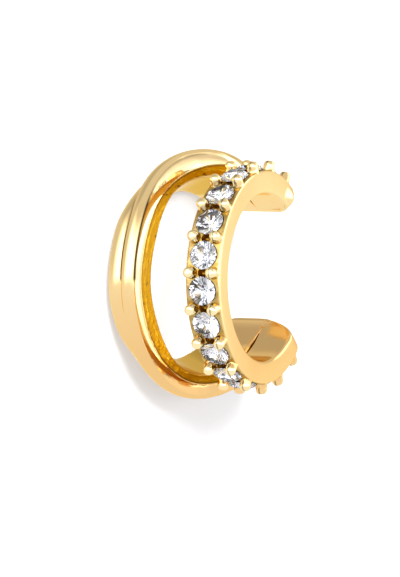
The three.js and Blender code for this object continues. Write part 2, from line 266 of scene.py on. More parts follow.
@dataclass
class Shell:
    """A closed surface as points and faces."""

    points: np.ndarray
    faces: list[tuple[int, ...]]

    @classmethod
    def joined(cls, shells: list["Shell"]) -> "Shell":
        """Puts several shells side by side in one.

        Args:
            shells: The shells, which don't touch.

        Returns:
            One shell with all their points and faces.
        """
        faces: list[tuple[int, ...]] = []
        start = 0
        for shell in shells:
            faces += [tuple(start + corner for corner in face) for face in shell.faces]
            start += len(shell.points)
        return cls(np.concatenate([shell.points for shell in shells]), faces)

    @classmethod
    def lofted(cls, outlines: np.ndarray, turns: np.ndarray) -> "Shell":
        """Lofts closed outlines round the ring and closes both ends.

        Args:
            outlines: Axial and radius of each point of each outline.
            turns: The turn of each outline.

        Returns:
            The closed shell.
        """
        stations, around = outlines.shape[:2]
        points = upright(outlines[:, :, 0], outlines[:, :, 1], turns[:, None]).reshape(-1, 3)
        faces: list[tuple[int, ...]] = []
        for i in range(stations - 1):
            for k in range(around):
                a, b = i * around + k, i * around + (k + 1) % around
                faces.append((a, b, b + around, a + around))
        faces.append(tuple(range(around))[::-1])
        faces.append(tuple(range((stations - 1) * around, stations * around)))
        return cls(points, faces)

    @classmethod
    def revolved(cls, profile: np.ndarray, sides: int, turn: float, axial: float) -> "Shell":
        """Revolves a profile about the line that stands out of the ring at a turn.

        Args:
            profile: Rows of distance from that line and radius, from the line back to it, outwards.
            sides: How many sides the round has.
            turn: Where on the ring the line stands.
            axial: How far along the axis it stands.

        Returns:
            The closed shell.
        """
        angle = math.radians(turn)
        out = np.array([0, -math.cos(angle), -math.sin(angle)])
        along = np.array([0, math.sin(angle), -math.cos(angle)])
        side = np.array([1.0, 0, 0])
        spin = 2 * math.pi * np.arange(sides) / sides
        rounds = np.cos(spin)[:, None] * along + np.sin(spin)[:, None] * side
        inner = profile[1:-1]
        body = inner[:, None, :1] * rounds[None] + inner[:, None, 1:] * out
        ends = np.array([profile[0, 1] * out, profile[-1, 1] * out])
        points = np.concatenate([body.reshape(-1, 3), ends]) + side * axial
        foot, tip = len(inner) * sides, len(inner) * sides + 1
        faces: list[tuple[int, ...]] = []
        for j in range(sides):
            after = (j + 1) % sides
            faces.append((foot, after, j))
            for k in range(len(inner) - 1):
                low, high = k * sides, (k + 1) * sides
                faces.append((low + j, low + after, high + after, high + j))
            top = (len(inner) - 1) * sides
            faces.append((top + j, top + after, tip))
        return cls(points, faces)

    def to_object(self, name: str, ring: Ring) -> bpy.types.Object:
        """Makes a mesh object in the row frame and links it to the scene.

        Args:
            name: The object's name.
            ring: The ring that the shell is built round.

        Returns:
            The object.
        """
        mesh = bpy.data.meshes.new(name)
        mesh.from_pydata(ring.to_metres(self.points).tolist(), [], self.faces)
        made = bpy.data.objects.new(name, mesh)
        bpy.context.scene.collection.objects.link(made)
        return made


def combine(body: bpy.types.Object, tool: bpy.types.Object, join: Join) -> None:
    """Joins or cuts body with tool, for good, and removes tool.

    Args:
        body: The object that stays.
        tool: The object that is joined to it or cut out of it.
        join: Which of the two is done.
    """
    modifier = body.modifiers.new(join.name, "BOOLEAN")
    modifier.operation = join.value
    modifier.solver = "MANIFOLD"
    modifier.object = tool
    depsgraph = bpy.context.evaluated_depsgraph_get()
    result = bpy.data.meshes.new_from_object(body.evaluated_get(depsgraph))
    body.modifiers.clear()
    old = body.data
    body.data = result
    bpy.data.meshes.remove(old)
    spent = tool.data
    bpy.data.objects.remove(tool)
    bpy.data.meshes.remove(spent)


# ---------------------------------------------------------------- the gold body


@dataclass(frozen=True)
class Corner:
    """A quarter ellipse that rounds a corner of an end: run along the band, reach across it.

    swell is how far the middle of the side face stands proud of its two edges there.
    """

    run: float
    reach: float
    swell: float = 0.0


@dataclass(frozen=True)
class Nose:
    """The rounding at the very end: its length, and the share of the wall's thickness it leaves."""

    run: float
    share: float


@dataclass(frozen=True)
class End:
    """One end of the bands."""

    turn: float
    near: Corner
    far: Corner
    nose: Nose


@dataclass(frozen=True)
class Ends:
    """What both bands share: the bore, the level of the crystal band's outside, and the two ends.

    bore and wall are radii, and strip_half is half the crystal band's width.
    """

    bore: float = 4.09
    wall: float = 5.2
    strip_half: float = 0.9
    upper: End = End(-139.6, near=Corner(0.9, 1.3, 0.16), far=Corner(0.9, 1.2), nose=Nose(0.5, 0.35))
    lower: End = End(144.0, near=Corner(1.45, 2.6), far=Corner(1.0, 1.2), nose=Nose(0.25, 0.72))
    swell_from: float = 1.6
    swell_rise: float = 1.1
    closing_steps: int = 25
    least_step: float = 0.02

    def to_end(self, turn: np.ndarray) -> np.ndarray:
        """How far each turn is from its end, along the band's outside."""
        end = np.where(turn < 0, self.upper.turn, self.lower.turn)
        return np.radians(np.abs(end - turn)) * self.wall

    def corner_cut(self, turn: np.ndarray, side: str) -> np.ndarray:
        """How much each end's rounded corner takes off a side, along the axis.

        Args:
            turn: The turns at which it is wanted.
            side: The side's name in End, near or far.

        Returns:
            The width that is gone at each turn.
        """
        upper, lower = getattr(self.upper, side), getattr(self.lower, side)
        run = np.where(turn < 0, upper.run, lower.run)
        reach = np.where(turn < 0, upper.reach, lower.reach)
        along = np.clip(1 - self.to_end(turn) / run, 0, 1)
        return reach * (1 - np.sqrt(1 - along**2))

    def near_swell(self, turn: np.ndarray) -> np.ndarray:
        """How far the near side's middle stands proud of its edges towards each end."""
        share = np.clip((self.swell_from - self.to_end(turn)) / self.swell_rise, 0, 1)
        return np.where(turn < 0, self.upper.near.swell, self.lower.near.swell) * share**2 * (3 - 2 * share)

    def nosed(self, radius: np.ndarray, turn: np.ndarray) -> np.ndarray:
        """Squeezes radii to the middle of the wall over the last stretch of each end.

        Args:
            radius: The radii, a row for each turn.
            turn: The turns, as a column.

        Returns:
            The squeezed radii.
        """
        run = np.where(turn < 0, self.upper.nose.run, self.lower.nose.run)
        share = np.where(turn < 0, self.upper.nose.share, self.lower.nose.share)
        along = np.clip(1 - self.to_end(turn) / run, 0, 1)
        middle = (self.bore + self.wall) / 2
        return middle + (radius - middle) * (1 - (1 - share) * (1 - np.sqrt(1 - along**2)))

    def stations(self, step: float, short: float = 0.0) -> np.ndarray:
        """The turns of the sections: even steps, and closer ones over the rounded ends.

        Args:
            step: Degrees from one section to the next, away from the ends.
            short: How far before the lower end the last section stands, in millimetres.

        Returns:
            The turns, in order.
        """
        closing = 1 - np.sin(quarter_turn(self.closing_steps))[1:]
        upper_run = math.degrees(self.upper.near.run / self.wall)
        lower_run = math.degrees(self.lower.near.run / self.wall)
        first, last = self.upper.turn + upper_run, self.lower.turn - lower_run
        even = np.linspace(first, last, round((last - first) / step) + 1)
        opened, closed = self.upper.turn + upper_run * closing[::-1], self.lower.turn - lower_run * closing
        turns = np.concatenate([opened, even, closed])
        stop = self.lower.turn - math.degrees(short / self.wall)
        return np.append(turns[turns < stop - self.least_step], stop)


@dataclass(frozen=True)
class Section:
    """One section of the polished band, or the sections at many turns.

    near faces the crystal band and far is the outer rim, both along the axis. front and back are the
    flutes' crest radii, bevel is the width of the polished shoulder on the near side, crest the
    distance from the near side to the front crest, cast the radius where the shoulder ends and inner
    the one where the near wall meets the bore, which tapers from there to the far rim.
    """

    turn: Size
    near: Size
    far: Size
    front: Size
    back: Size
    bevel: Size
    crest: Size
    cast: Size
    inner: Size


SECTIONS = tuple(
    Section(*sizes)
    for sizes in (
        # turn, near, far, front, back, bevel, crest, cast, inner
        (-140, -0.73, -3.37, 5.41, 5.2, 0.17, 0.48, 5.2, 4.09),
        (-129, -0.89, -3.5, 5.74, 5.21, 0.2, 0.5, 5.28, 4.09),
        (-120, -1.04, -3.64, 5.98, 5.24, 0.22, 0.52, 5.37, 4.11),
        (-106, -1.52, -3.86, 6.15, 5.33, 0.18, 0.54, 5.48, 4.62),
        (-95, -2.04, -3.94, 6.19, 5.42, 0.19, 0.52, 5.42, 4.84),
        (-80, -2.6, -4.03, 6.18, 5.55, 0.21, 0.49, 5.29, 4.78),
        (-64, -2.95, -4.12, 6.15, 5.72, 0.2, 0.49, 5.24, 4.66),
        (-50, -3.1, -4.38, 6.12, 5.89, 0.15, 0.45, 5.24, 4.42),
        (-30, -3.19, -4.7, 6.1, 6.01, 0.1, 0.43, 5.24, 4.16),
        (0, -3.28, -4.82, 6.08, 6.03, 0.07, 0.43, 5.24, 4.09),
        (20, -3.21, -4.65, 6.08, 5.98, 0.07, 0.42, 5.24, 4.12),
        (38, -3.09, -4.26, 6.07, 5.85, 0.07, 0.39, 5.24, 4.3),
        (54, -2.91, -4.12, 6.07, 5.68, 0.07, 0.36, 5.24, 4.58),
        (70, -2.67, -4.12, 6.07, 5.55, 0.07, 0.33, 5.27, 4.74),
        (84, -2.34, -4.16, 6.05, 5.42, 0.09, 0.31, 5.29, 4.8),
        (96, -1.91, -4.16, 6.05, 5.37, 0.1, 0.35, 5.29, 4.78),
        (108, -1.43, -3.99, 6.02, 5.33, 0.13, 0.39, 5.29, 4.58),
        (122, -1.07, -3.68, 5.9, 5.25, 0.17, 0.43, 5.24, 4.15),
        (132, -0.89, -3.53, 5.7, 5.22, 0.17, 0.45, 5.22, 4.09),
        (145, -0.5, -3.36, 5.44, 5.2, 0.17, 0.48, 5.2, 4.09),
    )
)

# Shares of the way up the shoulder, closer together beside its two edges.
SHOULDER_SHARES = (0.03, 0.08, 0.15, 0.25, 0.35, 0.45, 0.55, 0.65, 0.75, 0.85, 0.92, 0.97, 1.0)


@dataclass(frozen=True)
class Grain:
    """Smooth noise over the cast wall: how many waves to a millimetre, and a seed of its own."""

    waves: float
    seed: float


@dataclass
class PolishedBand:
    """The plain band, with two flutes outside and a near wall that is left rough, as cast.

    degree is a degree's length along the wall, and beyond_flute how steeply a flute's arc is carried
    on past its half width. The crease between the flutes is crisp up to the turn blend_from, and soft
    after it.
    """

    ends: Ends
    sections: tuple[Section, ...] = SECTIONS
    flute_depth: float = 0.65
    back_half: float = 0.54
    beyond_flute: float = 3.0
    rim_fall: float = 0.42
    rim_share: float = 0.98
    crease_drop: float = 0.22
    inner_round: float = 0.12
    least_round: float = 0.02
    rim_round: float = 0.22
    blend_from: float = 26.0
    blend_over: float = 7.0
    crisp: float = 0.013
    soft: float = 0.26
    soft_drop: float = 0.2
    cast_grain: float = 0.018
    coarse: Grain = Grain(3.2, 1.0)
    fine: Grain = Grain(8.0, 5.0)
    fine_share: float = 0.6
    cast_lumps: float = 0.06
    lumps: Grain = Grain(2.2, 3.0)
    lumpier: Fade = Fade(40.0, 70.0)
    degree: float = 0.09
    least_shoulder: float = 0.03
    shoulder_swell: float = 0.03
    step: float = 0.8
    round_steps: int = 8
    wall_steps: int = 14
    crown_steps: int = 88
    crown_closing: float = 1.3
    rim_steps: int = 8
    bore_steps: int = 12
    crease_places: int = 80

    def column(self, name: str, turn: np.ndarray) -> np.ndarray:
        """One size of the sections at any turn, on a curve that never swings past its rows.

        Args:
            name: The size's name in Section.
            turn: The turns at which it is wanted.

        Returns:
            The size at each turn.
        """
        at = np.array([row.turn for row in self.sections])
        value = np.array([getattr(row, name) for row in self.sections])
        gap = np.diff(at)
        slope = np.diff(value) / gap
        tangent = np.zeros(len(at))
        tangent[0], tangent[-1] = slope[0], slope[-1]
        before, after = 2 * gap[1:] + gap[:-1], gap[1:] + 2 * gap[:-1]
        same = slope[:-1] * slope[1:] > 0
        safe = np.where(same, slope[:-1], 1), np.where(same, slope[1:], 1)
        tangent[1:-1] = np.where(same, (before + after) / (before / safe[0] + after / safe[1]), 0)
        i = np.clip(np.searchsorted(at, turn, side="right") - 1, 0, len(gap) - 1)
        t = (turn - at[i]) / gap[i]
        s = 1 - t
        return (
            value[i] * (1 + 2 * t) * s * s
            + tangent[i] * gap[i] * t * s * s
            + value[i + 1] * (1 + 2 * s) * t * t
            - tangent[i + 1] * gap[i] * s * t * t
        )

    def at(self, turn: np.ndarray) -> Section:
        """The sections at any turns."""
        names = [size.name for size in fields(Section) if size.name != "turn"]
        return Section(turn, *(self.column(name, turn) for name in names))

    def fall(self, share: np.ndarray, depth: Size) -> np.ndarray:
        """How far a flute's arc falls below its crest, at a share of its half width."""
        inside = np.clip(share, 0, 1)
        return depth * (1 - np.sqrt(1 - inside**2)) + self.beyond_flute * np.clip(share - 1, 0, None)

    def wobble(self, turn: np.ndarray, radius: np.ndarray, grain: Grain) -> np.ndarray:
        """Smooth seeded noise over the wall.

        Args:
            turn: The turns at which it is wanted.
            radius: The radii at which it is wanted.
            grain: Which noise it is.

        Returns:
            A number between -1 and 1 for each place.
        """
        turns, radii = np.broadcast_arrays(turn, radius)
        flat = [
            noise.noise(Vector((a * grain.waves * self.degree, r * grain.waves, grain.seed)))
            for a, r in zip(turns.ravel(), radii.ravel())
        ]
        return np.array(flat).reshape(turns.shape)

    def outlines(self, turns: np.ndarray) -> np.ndarray:
        """The band's closed outlines.

        Args:
            turns: The turn of each outline.

        Returns:
            Axial and radius of each point of each outline.
        """
        ends, turn = self.ends, turns[:, None]
        at = self.at(turn)
        near = np.minimum(at.near, ends.strip_half - ends.corner_cut(turn, "near"))
        far = at.far + ends.corner_cut(turn, "far")
        start = near - at.bevel
        top = self.crown(start, at)
        lumps = self.cast_lumps * (1 + self.lumpier.of(turn))
        cast = at.cast + lumps * self.wobble(turn, np.zeros(1), self.lumps)
        cast = np.minimum(cast, top - self.least_shoulder)
        inner_round = np.clip(-ends.strip_half - at.near, self.least_round, self.inner_round)
        bend = quarter_turn(self.round_steps)
        across = start + (far - start) * (1 - (1 - steps(self.crown_steps)) ** self.crown_closing)
        outside = self.crown(across, at)
        stretches = [
            (near - inner_round * (1 - np.sin(bend)), at.inner + inner_round * (1 - np.cos(bend))),
            self.cast_wall(turn, near, at.inner + inner_round, cast),
            self.shoulder(near, at.bevel, cast, top),
            (across, outside),
            *self.rim(far, outside[:, -1:]),
            self.bore(far + self.rim_round, near - inner_round, at.inner),
        ]
        axial, radius = joined_outline(stretches, len(turns))
        return np.stack([axial, ends.nosed(radius, turn)], axis=-1)

    def cast_wall(self, turn: np.ndarray, near: np.ndarray, low: np.ndarray, cast: np.ndarray) -> Stretch:
        """The rough stretch of the near wall.

        Args:
            turn: The turn of each outline.
            near: Where the wall stands along the axis.
            low: The radius from which it rises.
            cast: The radius at which it ends.

        Returns:
            Axial and radius of its points.
        """
        wall = steps(self.wall_steps)
        radii = low + (cast - low) * wall
        coarse, fine = self.wobble(turn, radii, self.coarse), self.wobble(turn, radii, self.fine)
        grain = coarse + self.fine_share * fine
        return near + self.cast_grain * grain * np.sin(math.pi * wall) ** 0.5, radii

    def shoulder(self, near: np.ndarray, bevel: np.ndarray, cast: np.ndarray, top: np.ndarray) -> Stretch:
        """The polished shoulder between the rough wall and the front flute, slightly swelled.

        Args:
            near: Where the wall stands along the axis.
            bevel: The shoulder's width.
            cast: The radius at which it begins.
            top: The radius at which it ends.

        Returns:
            Axial and radius of its points.
        """
        up = np.array(SHOULDER_SHARES)
        slant = np.hypot(bevel, top - cast)
        swell = self.shoulder_swell * 4 * up * (1 - up)
        axial = near - bevel * up + swell * (top - cast) / slant
        return axial, cast + (top - cast) * up + swell * bevel / slant

    def rim(self, far: np.ndarray, outer: np.ndarray) -> list[Stretch]:
        """The far rim, from the back flute down to the rounded edge of the bore.

        Args:
            far: Where the rim stands along the axis.
            outer: The radius at which it begins.

        Returns:
            Axial and radius of the points of its flat and of its rounding.
        """
        top = self.ends.bore + self.rim_round
        down, bend = steps(self.rim_steps), quarter_turn(self.round_steps)[1:]
        return [
            (far + 0 * down, outer + (top - outer) * down),
            (far + self.rim_round * (1 - np.cos(bend)), top - self.rim_round * np.sin(bend)),
        ]

    def bore(self, start: np.ndarray, stop: np.ndarray, inner: np.ndarray) -> Stretch:
        """The bore, which tapers from the far rim out to the near wall."""
        inside = steps(self.bore_steps)[:-1]
        return start + (stop - start) * inside, self.ends.bore + (inner - self.ends.bore) * inside

    def crests(self, at: Section) -> tuple[np.ndarray, np.ndarray]:
        """Where the front and the back flute's crests stand along the axis."""
        return at.near - at.crest, at.far + self.back_half

    def lobes(self, axial: np.ndarray, at: Section) -> tuple[np.ndarray, np.ndarray]:
        """The radii of the two flutes, before they are joined.

        Args:
            axial: Where across the band the radius is wanted.
            at: The sections at each turn.

        Returns:
            The front flute's and the back flute's radius at each place.
        """
        front_at, back_at = self.crests(at)
        near_half = (at.crest - at.bevel) / math.sqrt(1 - (1 - self.crease_drop / self.flute_depth) ** 2)
        half = np.where(axial > front_at, near_half, np.maximum(self.back_half, near_half))
        front_radius = at.front - self.fall(np.abs(axial - front_at) / half, self.flute_depth)
        from_back = (axial - back_at) / self.back_half
        depth = np.minimum(self.flute_depth, at.back - (self.ends.bore + self.ends.wall) / 2)
        rim = self.rim_fall * (1 - np.sqrt(1 - (self.rim_share * np.clip(-from_back, 0, 1)) ** 2))
        back_radius = at.back - np.where(from_back > 0, self.fall(np.clip(from_back, 0, 1), depth), rim)
        return front_radius, np.where(from_back > 1, at.back - depth, back_radius)

    def crown(self, axial: np.ndarray, at: Section) -> np.ndarray:
        """The radius of the fluted outside, where the flutes meet crisply above and softly below.

        Args:
            axial: Where across the band the radius is wanted.
            at: The sections at each turn.

        Returns:
            The radius at each place.
        """
        front_radius, back_radius = self.lobes(axial, at)
        faded = 1 / (1 + np.exp((self.blend_from - at.turn) / self.blend_over))
        softness = self.crisp + self.soft * faded
        larger = (front_radius + back_radius + np.hypot(front_radius - back_radius, softness)) / 2
        return larger - self.soft_drop * softness * faded

    def creases(self, at: Section) -> tuple[np.ndarray, np.ndarray]:
        """Where the two creases run across the band.

        Args:
            at: The sections at each turn.

        Returns:
            The axial place of the crease between the flutes and of the one beside the shoulder.
        """
        front_at, back_at = self.crests(at)
        across = back_at + (front_at - back_at) * np.linspace(0, 1, self.crease_places)[:, None]
        front, back = self.lobes(across, at)
        lowest = np.abs(front - back).argmin(axis=0)
        return across[lowest, np.arange(len(at.turn))], at.near - at.bevel

    def shell(self) -> Shell:
        """The band's closed surface."""
        turns = self.ends.stations(self.step)
        return Shell.lofted(self.outlines(turns), turns)


@dataclass
class CrystalBand:
    """The flat-sided band that holds the crystals: its strip, its prongs and its seats.

    pitch is the turn from one crystal to the next and shift the middle one's own, both in degrees.
    short is how far the strip stops before the lower end.
    """

    ends: Ends
    count: int
    edge: float = 0.08
    bore_edge: float = 0.16
    bulge: float = 0.012
    short: float = 0.16
    pitch: float = 19.17
    shift: float = 0.7
    crystal_radius: float = 0.71
    girdle_radius: float = 5.24
    girdle_drop: float = 0.04
    seat_gap: float = 0.035
    seat_depth: float = 0.69
    seat_sides: int = 72
    cutter_reach: float = 1.0
    prong_offset: float = 0.59
    prong_radius: float = 0.28
    prong_root: float = 4.75
    prong_tip: float = 5.73
    prong_dome: float = 0.27
    dome_fullness: float = 0.62
    prong_sides: int = 28
    foot_flare: float = 0.03
    foot_depth: float = 0.02
    notch_radius: float = 0.25
    notch_depth: float = 0.3
    step: float = 0.8
    round_steps: int = 6
    flank_steps: int = 12
    across_steps: int = 6
    post_steps: int = 9
    dome_steps: int = 11
    notch_steps: int = 12

    def strip(self) -> Shell:
        """Builds the band itself, before anything is set in it.

        Returns:
            Its closed shell.
        """
        turns = self.ends.stations(self.step, self.short)
        turn = turns[:, None]
        side = self.ends.strip_half - self.ends.corner_cut(turn, "near")
        far = -self.ends.strip_half + 0 * side
        bend = quarter_turn(self.round_steps)
        flank, across = steps(self.flank_steps)[:-1], steps(self.across_steps)[:-1]
        low, high, edge, inner = self.ends.bore, self.ends.wall, self.edge, self.bore_edge
        swell = (self.bulge + self.ends.near_swell(turn)) * (4 * flank * (1 - flank))
        stretches = [
            (side - inner * (1 - np.sin(bend)), low + inner * (1 - np.cos(bend))),
            (side + swell, low + inner + (high - low - edge - inner) * flank),
            (side - edge * (1 - np.cos(bend)), high - edge * (1 - np.sin(bend))),
            (side - edge + (far - side + 2 * edge) * across, high + 0 * across),
            (far + edge * (1 - np.sin(bend)), high - edge * (1 - np.cos(bend))),
            (far + 0 * flank, high - edge - (high - low - 2 * edge) * flank),
            (far + edge * (1 - np.cos(bend)), low + edge * (1 - np.sin(bend))),
            (far + edge + (side - far - edge - inner) * across, low + 0 * across),
        ]
        axial, radius = joined_outline(stretches, len(turns))
        return Shell.lofted(np.stack([axial, self.ends.nosed(radius, turn)], axis=-1), turns)

    def crystal_turns(self) -> list[float]:
        """Where the crystals stand."""
        return [self.shift + (i - (self.count - 1) / 2) * self.pitch for i in range(self.count)]

    def prong_turns(self) -> list[float]:
        """Where the pairs of prongs stand: before, between and after the crystals."""
        return [self.shift + (i - self.count / 2) * self.pitch for i in range(self.count + 1)]

    def prongs(self) -> Shell:
        """Builds all prongs: stubby posts with a flared foot and a domed tip.

        Returns:
            One shell for all of them.
        """
        rise, bend = np.linspace(0, 1, self.post_steps + 1), quarter_turn(self.dome_steps)
        foot, neck = self.ends.wall - self.foot_depth, self.prong_tip - self.prong_dome
        root = [[0, self.prong_root], [self.prong_radius + self.foot_flare, self.prong_root]]
        post = self.prong_radius + self.foot_flare * (1 - rise) ** 2, foot + (neck - foot) * rise
        dome = self.prong_radius * np.cos(bend) ** self.dome_fullness, neck + self.prong_dome * np.sin(bend)
        profile = np.concatenate([root, np.stack(post, axis=1), np.stack(dome, axis=1)[1:]])
        profile[-1, 0] = 0
        return Shell.joined(
            [
                Shell.revolved(profile, self.prong_sides, turn, side * self.prong_offset)
                for turn in self.prong_turns()
                for side in (-1, 1)
            ]
        )

    def seats(self) -> Shell:
        """Builds the cutters for the pockets that the crystals sit in.

        Returns:
            One shell for all of them.
        """
        radius = self.crystal_radius + self.seat_gap
        floor, top = self.girdle_radius - self.girdle_drop, self.prong_tip + self.cutter_reach
        profile = np.array([[0, floor - self.seat_depth], [radius, floor], [radius, top], [0, top]])
        return Shell.joined(
            [Shell.revolved(profile, self.seat_sides, turn, 0) for turn in self.crystal_turns()]
        )

    def notches(self) -> Shell:
        """Builds the cutters for the hollows between neighbouring crystals.

        Returns:
            One shell for all of them, with one between the two prongs of each pair but the outermost.
        """
        bend = np.linspace(-math.pi / 2, math.pi / 2, self.notch_steps + 1)
        around = self.notch_radius * np.cos(bend), self.ends.wall + self.notch_depth * np.sin(bend)
        profile = np.stack(around, axis=1)
        profile[[0, -1], 0] = 0
        return Shell.joined(
            [Shell.revolved(profile, self.prong_sides, turn, 0) for turn in self.prong_turns()[1:-1]]
        )


@dataclass(frozen=True)
class Markings:
    """Where each tone of the gold goes, worked out from the sizes of both bands.

    Most of these tones are painted light: shade in the creases, hollows, lip and tapered bore and on the
    face between the crystals, highlights on the shoulder and the prongs' tips, and a dark reflection on
    the prongs. The fades named for turns and past_prongs are in degrees, and the others in millimetres.
    """

    polished: PolishedBand
    crystal_band: CrystalBand
    from_wall: Fade = Fade(0.1, 0.05)
    below_boundary: Fade = Fade(-0.025, 0.025)
    above_bore: Fade = Fade(0.02, 0.08)
    wall_showing: Fade = Fade(-0.98, -1.08)
    above_boundary: Fade = Fade(0.0, 0.1)
    # lip_depth and lip_width place a dark line of painted shade along the rough wall's boundary.
    lip_depth: float = 0.05
    lip_width: float = 0.05
    # The taper fades place painted shade on the tapered bore.
    taper_rise: Fade = Fade(0.1, 0.3)
    taper_height: Fade = Fade(0.05, 0.02)
    taper_side: Fade = Fade(-0.04, -0.09)
    # crease_turns to line_turns place the dark crease lines, which are painted shade.
    crease_turns: Fade = Fade(-3.6, -5.1)
    valley_width: float = 0.05
    valley_turns: Fade = Fade(-58.0, -22.0)
    line_width: float = 0.045
    line_thinned: float = 0.02
    line_thin_turns: Fade = Fade(-10.0, -35.0)
    line_faint: float = 0.35
    line_strong_turns: Fade = Fade(-56.0, -44.0)
    line_turns: Fade = Fade(-118.0, -106.0)
    # These place the shoulder's painted highlight.
    highlight_inner: Fade = Fade(0.0, 0.03)
    highlight_outer: Fade = Fade(0.1, 0.05)
    highlight_turns: Fade = Fade(10.0, -10.0)
    # face_top to past_prongs place the face between the crystals, which is painted darker as shade.
    face_top: Fade = Fade(0.06, 0.02)
    face_floor: Fade = Fade(-0.25, -0.2)
    face_side: Fade = Fade(0.88, 0.83)
    past_prongs: Fade = Fade(4.0, 2.0)
    # The hollow fades place painted shade in the hollows between the crystals.
    hollow_round: Fade = Fade(0.26, 0.22)
    hollow_top: Fade = Fade(-0.02, -0.06)
    hollow_floor: Fade = Fade(-0.45, -0.4)
    # The tip fades place a painted highlight on the prongs' tips, fullest within 58 degrees of the closed
    # side.
    tip_height: Fade = Fade(0.2, 0.32)
    tip_side: Fade = Fade(0.95, 0.9)
    tip_turns: Fade = Fade(88.0, 58.0)
    tip_least: float = 0.15
    # These place a dark line painted as a reflection down the middle of one row of prongs.
    reflected_line_width: float = 0.03
    reflected_line_height: Fade = Fade(0.15, 0.25)
    reflected_line_depth: float = 0.8

    def masks(self, axial: np.ndarray, radius: np.ndarray, turn: np.ndarray) -> dict[Mask, np.ndarray]:
        """Works out every mask.

        Args:
            axial: Where each point stands along the axis.
            radius: How far it is from the axis.
            turn: Its turn.

        Returns:
            The masks, each from 0 to 1 at each point.
        """
        at = self.polished.at(turn)
        crease, shoulder_highlight = self.outside(axial, radius, at)
        face, hollow, tip, reflected_line = self.setting(axial, radius - self.crystal_band.ends.wall, turn)
        return self.near_wall(axial, radius, at) | {
            # The creases' painted shade and the prongs' painted reflection share one dark mask.
            Mask.CREASE: np.maximum(crease, self.reflected_line_depth * reflected_line),
            Mask.SHOULDER_HIGHLIGHT: shoulder_highlight,
            Mask.SET_FACE: face,
            Mask.HOLLOW_SHADE: hollow,
            Mask.TIP: tip,
        }

    def near_wall(self, axial: np.ndarray, radius: np.ndarray, at: Section) -> dict[Mask, np.ndarray]:
        """The rough wall, the lip along its boundary, painted as a dark line of shade, and the tapered bore
        behind it, painted darker as shade.

        Args:
            axial: Where each point stands along the axis.
            radius: How far it is from the axis.
            at: The section at its turn.

        Returns:
            The three masks.
        """
        wall = self.from_wall.of(np.abs(axial - at.near)) * self.wall_showing.of(at.near)
        rough = self.below_boundary.of(at.cast - radius) * self.above_bore.of(radius - at.inner)
        # The tapered bore is painted darker, as shade.
        taper = self.taper_rise.of(at.inner - self.polished.ends.bore)
        taper *= self.taper_height.of(radius - at.inner) * self.taper_side.of(axial - at.near)
        return {
            Mask.CAST: wall * rough,
            # A dark line painted as shade along the rough wall's boundary.
            Mask.LIP_SHADE: bell(radius, at.cast - self.lip_depth, self.lip_width) * wall,
            Mask.TAPER: taper,
        }

    def outside(
        self, axial: np.ndarray, radius: np.ndarray, at: Section
    ) -> tuple[np.ndarray, np.ndarray]:
        """The dark lines in the two creases, painted as shade, and the shoulder's painted highlight.

        Args:
            axial: Where each point stands along the axis.
            radius: How far it is from the axis.
            at: The section at its turn.

        Returns:
            The mask of the painted dark lines and the mask of the shoulder's painted highlight.
        """
        between, shoulder = self.polished.creases(at)
        outside, turn = self.above_boundary.of(radius - at.cast), at.turn
        # The creases are painted dark, as shade.
        valley = bell(axial, between, self.valley_width) * self.valley_turns.of(turn)
        width = self.line_width - self.line_thinned * self.line_thin_turns.of(turn)
        strength = self.line_faint + (1 - self.line_faint) * self.line_strong_turns.of(turn)
        line = bell(axial, shoulder, width) * strength * self.line_turns.of(turn)
        # The shoulder is painted a paler gold, as a highlight.
        shoulder_highlight = self.highlight_inner.of(axial - shoulder) * self.highlight_outer.of(axial - at.near)
        shoulder_highlight *= outside * self.wall_showing.of(at.near) * self.highlight_turns.of(turn)
        return np.maximum(valley, line) * self.crease_turns.of(turn) * outside, shoulder_highlight

    def setting(self, axial: np.ndarray, height: np.ndarray, turn: np.ndarray) -> tuple[np.ndarray, ...]:
        """The face between the crystals and the hollows in it, both painted darker as shade, the prongs'
        tips, painted with a highlight, and a dark line painted as a reflection along their outer edges.

        Args:
            axial: Where each point stands along the axis.
            height: How far it stands above the band's outside.
            turn: Its turn.

        Returns:
            The four masks.
        """
        band, aside = self.crystal_band, np.abs(axial)
        turns = band.prong_turns()
        # The face between the crystals is painted darker, as shade.
        face = self.face_top.of(height) * self.face_floor.of(height) * self.face_side.of(aside)
        face *= self.past_prongs.of(turns[0] - turn) * self.past_prongs.of(turn - turns[-1])
        apart = (turn - turns[0] + band.pitch / 2) % band.pitch - band.pitch / 2
        # The hollows between the crystals are painted dark, as shade.
        hollow = self.hollow_round.of(np.hypot(np.radians(apart) * band.ends.wall, axial))
        hollow *= self.hollow_top.of(height) * self.hollow_floor.of(height)
        # The prongs' tips are painted paler, as a highlight.
        tip = self.tip_height.of(height) * self.tip_side.of(aside)
        tip *= np.maximum(self.tip_turns.of(np.abs(turn)), self.tip_least)
        # A dark line painted down one row of prongs, as a reflection.
        reflected_line = bell(axial, band.prong_offset, self.reflected_line_width) * self.reflected_line_height.of(height)
        return face, hollow, tip, reflected_line


# ---------------------------------------------------------------- nodes


@dataclass(frozen=True)
class Texture:
    """A noise texture: its waves to a unit of the place it is given, and its layers of detail."""

    scale: float | Socket
    detail: float = 3.0


